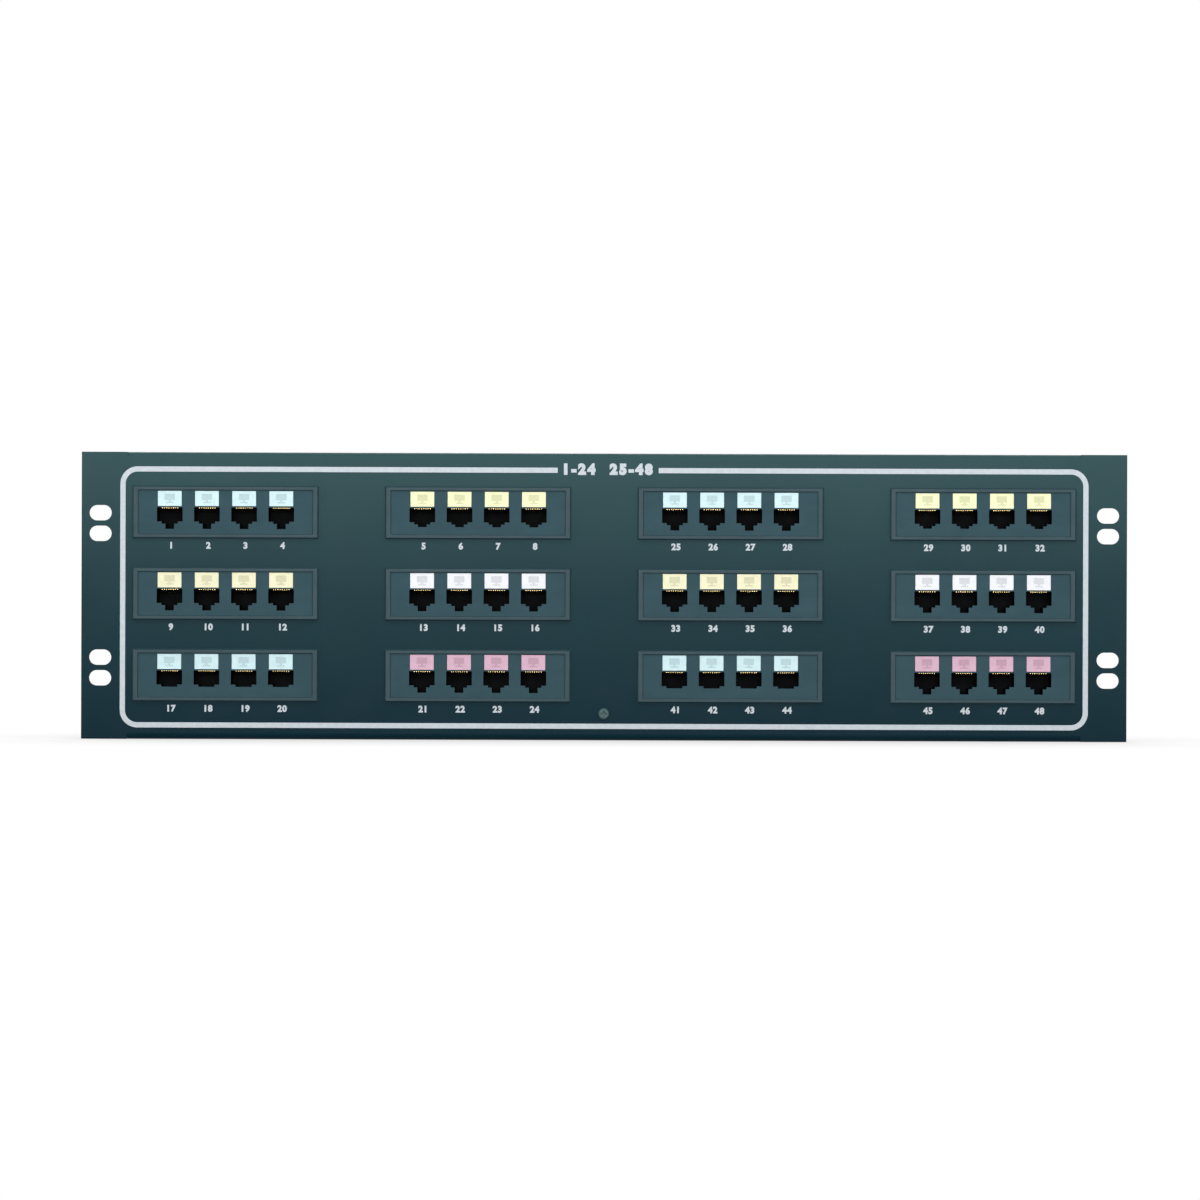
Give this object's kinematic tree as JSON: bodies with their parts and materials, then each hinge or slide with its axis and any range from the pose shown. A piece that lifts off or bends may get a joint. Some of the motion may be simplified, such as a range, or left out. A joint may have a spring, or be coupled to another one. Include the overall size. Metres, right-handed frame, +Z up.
{
  "type": "patch panel",
  "caption": "Rack-mount patch panel with snap-in jack modules, coloured port icons and slotted punch-down blocks behind.",
  "frame": {"origin": "centre of the rack slots, on the rear face of the front sheet where it meets the rack rails", "axes": "+X along the panel to the right as seen from the front, +Y to the rear, +Z up"},
  "size_m": [0.4826, 0.0344, 0.1324],
  "materials": {
    "panel_paint": "satin",
    "print_ink": "matt",
    "housing_plastic": "satin",
    "contact_gold": "polished",
    "board_mask": "gloss",
    "block_plastic": "satin",
    "icon_blue": "satin",
    "icon_cream": "satin",
    "icon_pink": "satin",
    "icon_white": "satin",
    "icon_yellow": "satin"
  },
  "bodies": {
    "root": {"front_panel": "panel_paint", "border_print": "print_ink", "module_housing_01": "housing_plastic", "jack_contacts_01": "contact_gold", "circuit_board_01": "board_mask", "punchdown_blocks_01": "block_plastic", "module_housing_02": "housing_plastic", "jack_contacts_02": "contact_gold", "circuit_board_02": "board_mask", "punchdown_blocks_02": "block_plastic", "module_housing_03": "housing_plastic", "jack_contacts_03": "contact_gold", "circuit_board_03": "board_mask", "punchdown_blocks_03": "block_plastic", "module_housing_04": "housing_plastic", "jack_contacts_04": "contact_gold", "circuit_board_04": "board_mask", "punchdown_blocks_04": "block_plastic", "module_housing_05": "housing_plastic", "jack_contacts_05": "contact_gold", "circuit_board_05": "board_mask", "punchdown_blocks_05": "block_plastic", "module_housing_06": "housing_plastic", "jack_contacts_06": "contact_gold", "circuit_board_06": "board_mask", "punchdown_blocks_06": "block_plastic", "module_housing_07": "housing_plastic", "jack_contacts_07": "contact_gold", "circuit_board_07": "board_mask", "punchdown_blocks_07": "block_plastic", "module_housing_08": "housing_plastic", "jack_contacts_08": "contact_gold", "circuit_board_08": "board_mask", "punchdown_blocks_08": "block_plastic", "module_housing_09": "housing_plastic", "jack_contacts_09": "contact_gold", "circuit_board_09": "board_mask", "punchdown_blocks_09": "block_plastic", "module_housing_10": "housing_plastic", "jack_contacts_10": "contact_gold", "circuit_board_10": "board_mask", "punchdown_blocks_10": "block_plastic", "module_housing_11": "housing_plastic", "jack_contacts_11": "contact_gold", "circuit_board_11": "board_mask", "punchdown_blocks_11": "block_plastic", "module_housing_12": "housing_plastic", "jack_contacts_12": "contact_gold", "circuit_board_12": "board_mask", "punchdown_blocks_12": "block_plastic", "icons_blue": "icon_blue", "icons_cream": "icon_cream", "icons_pink": "icon_pink", "icons_white": "icon_white", "icons_yellow": "icon_yellow"}
  },
  "joints": []
}
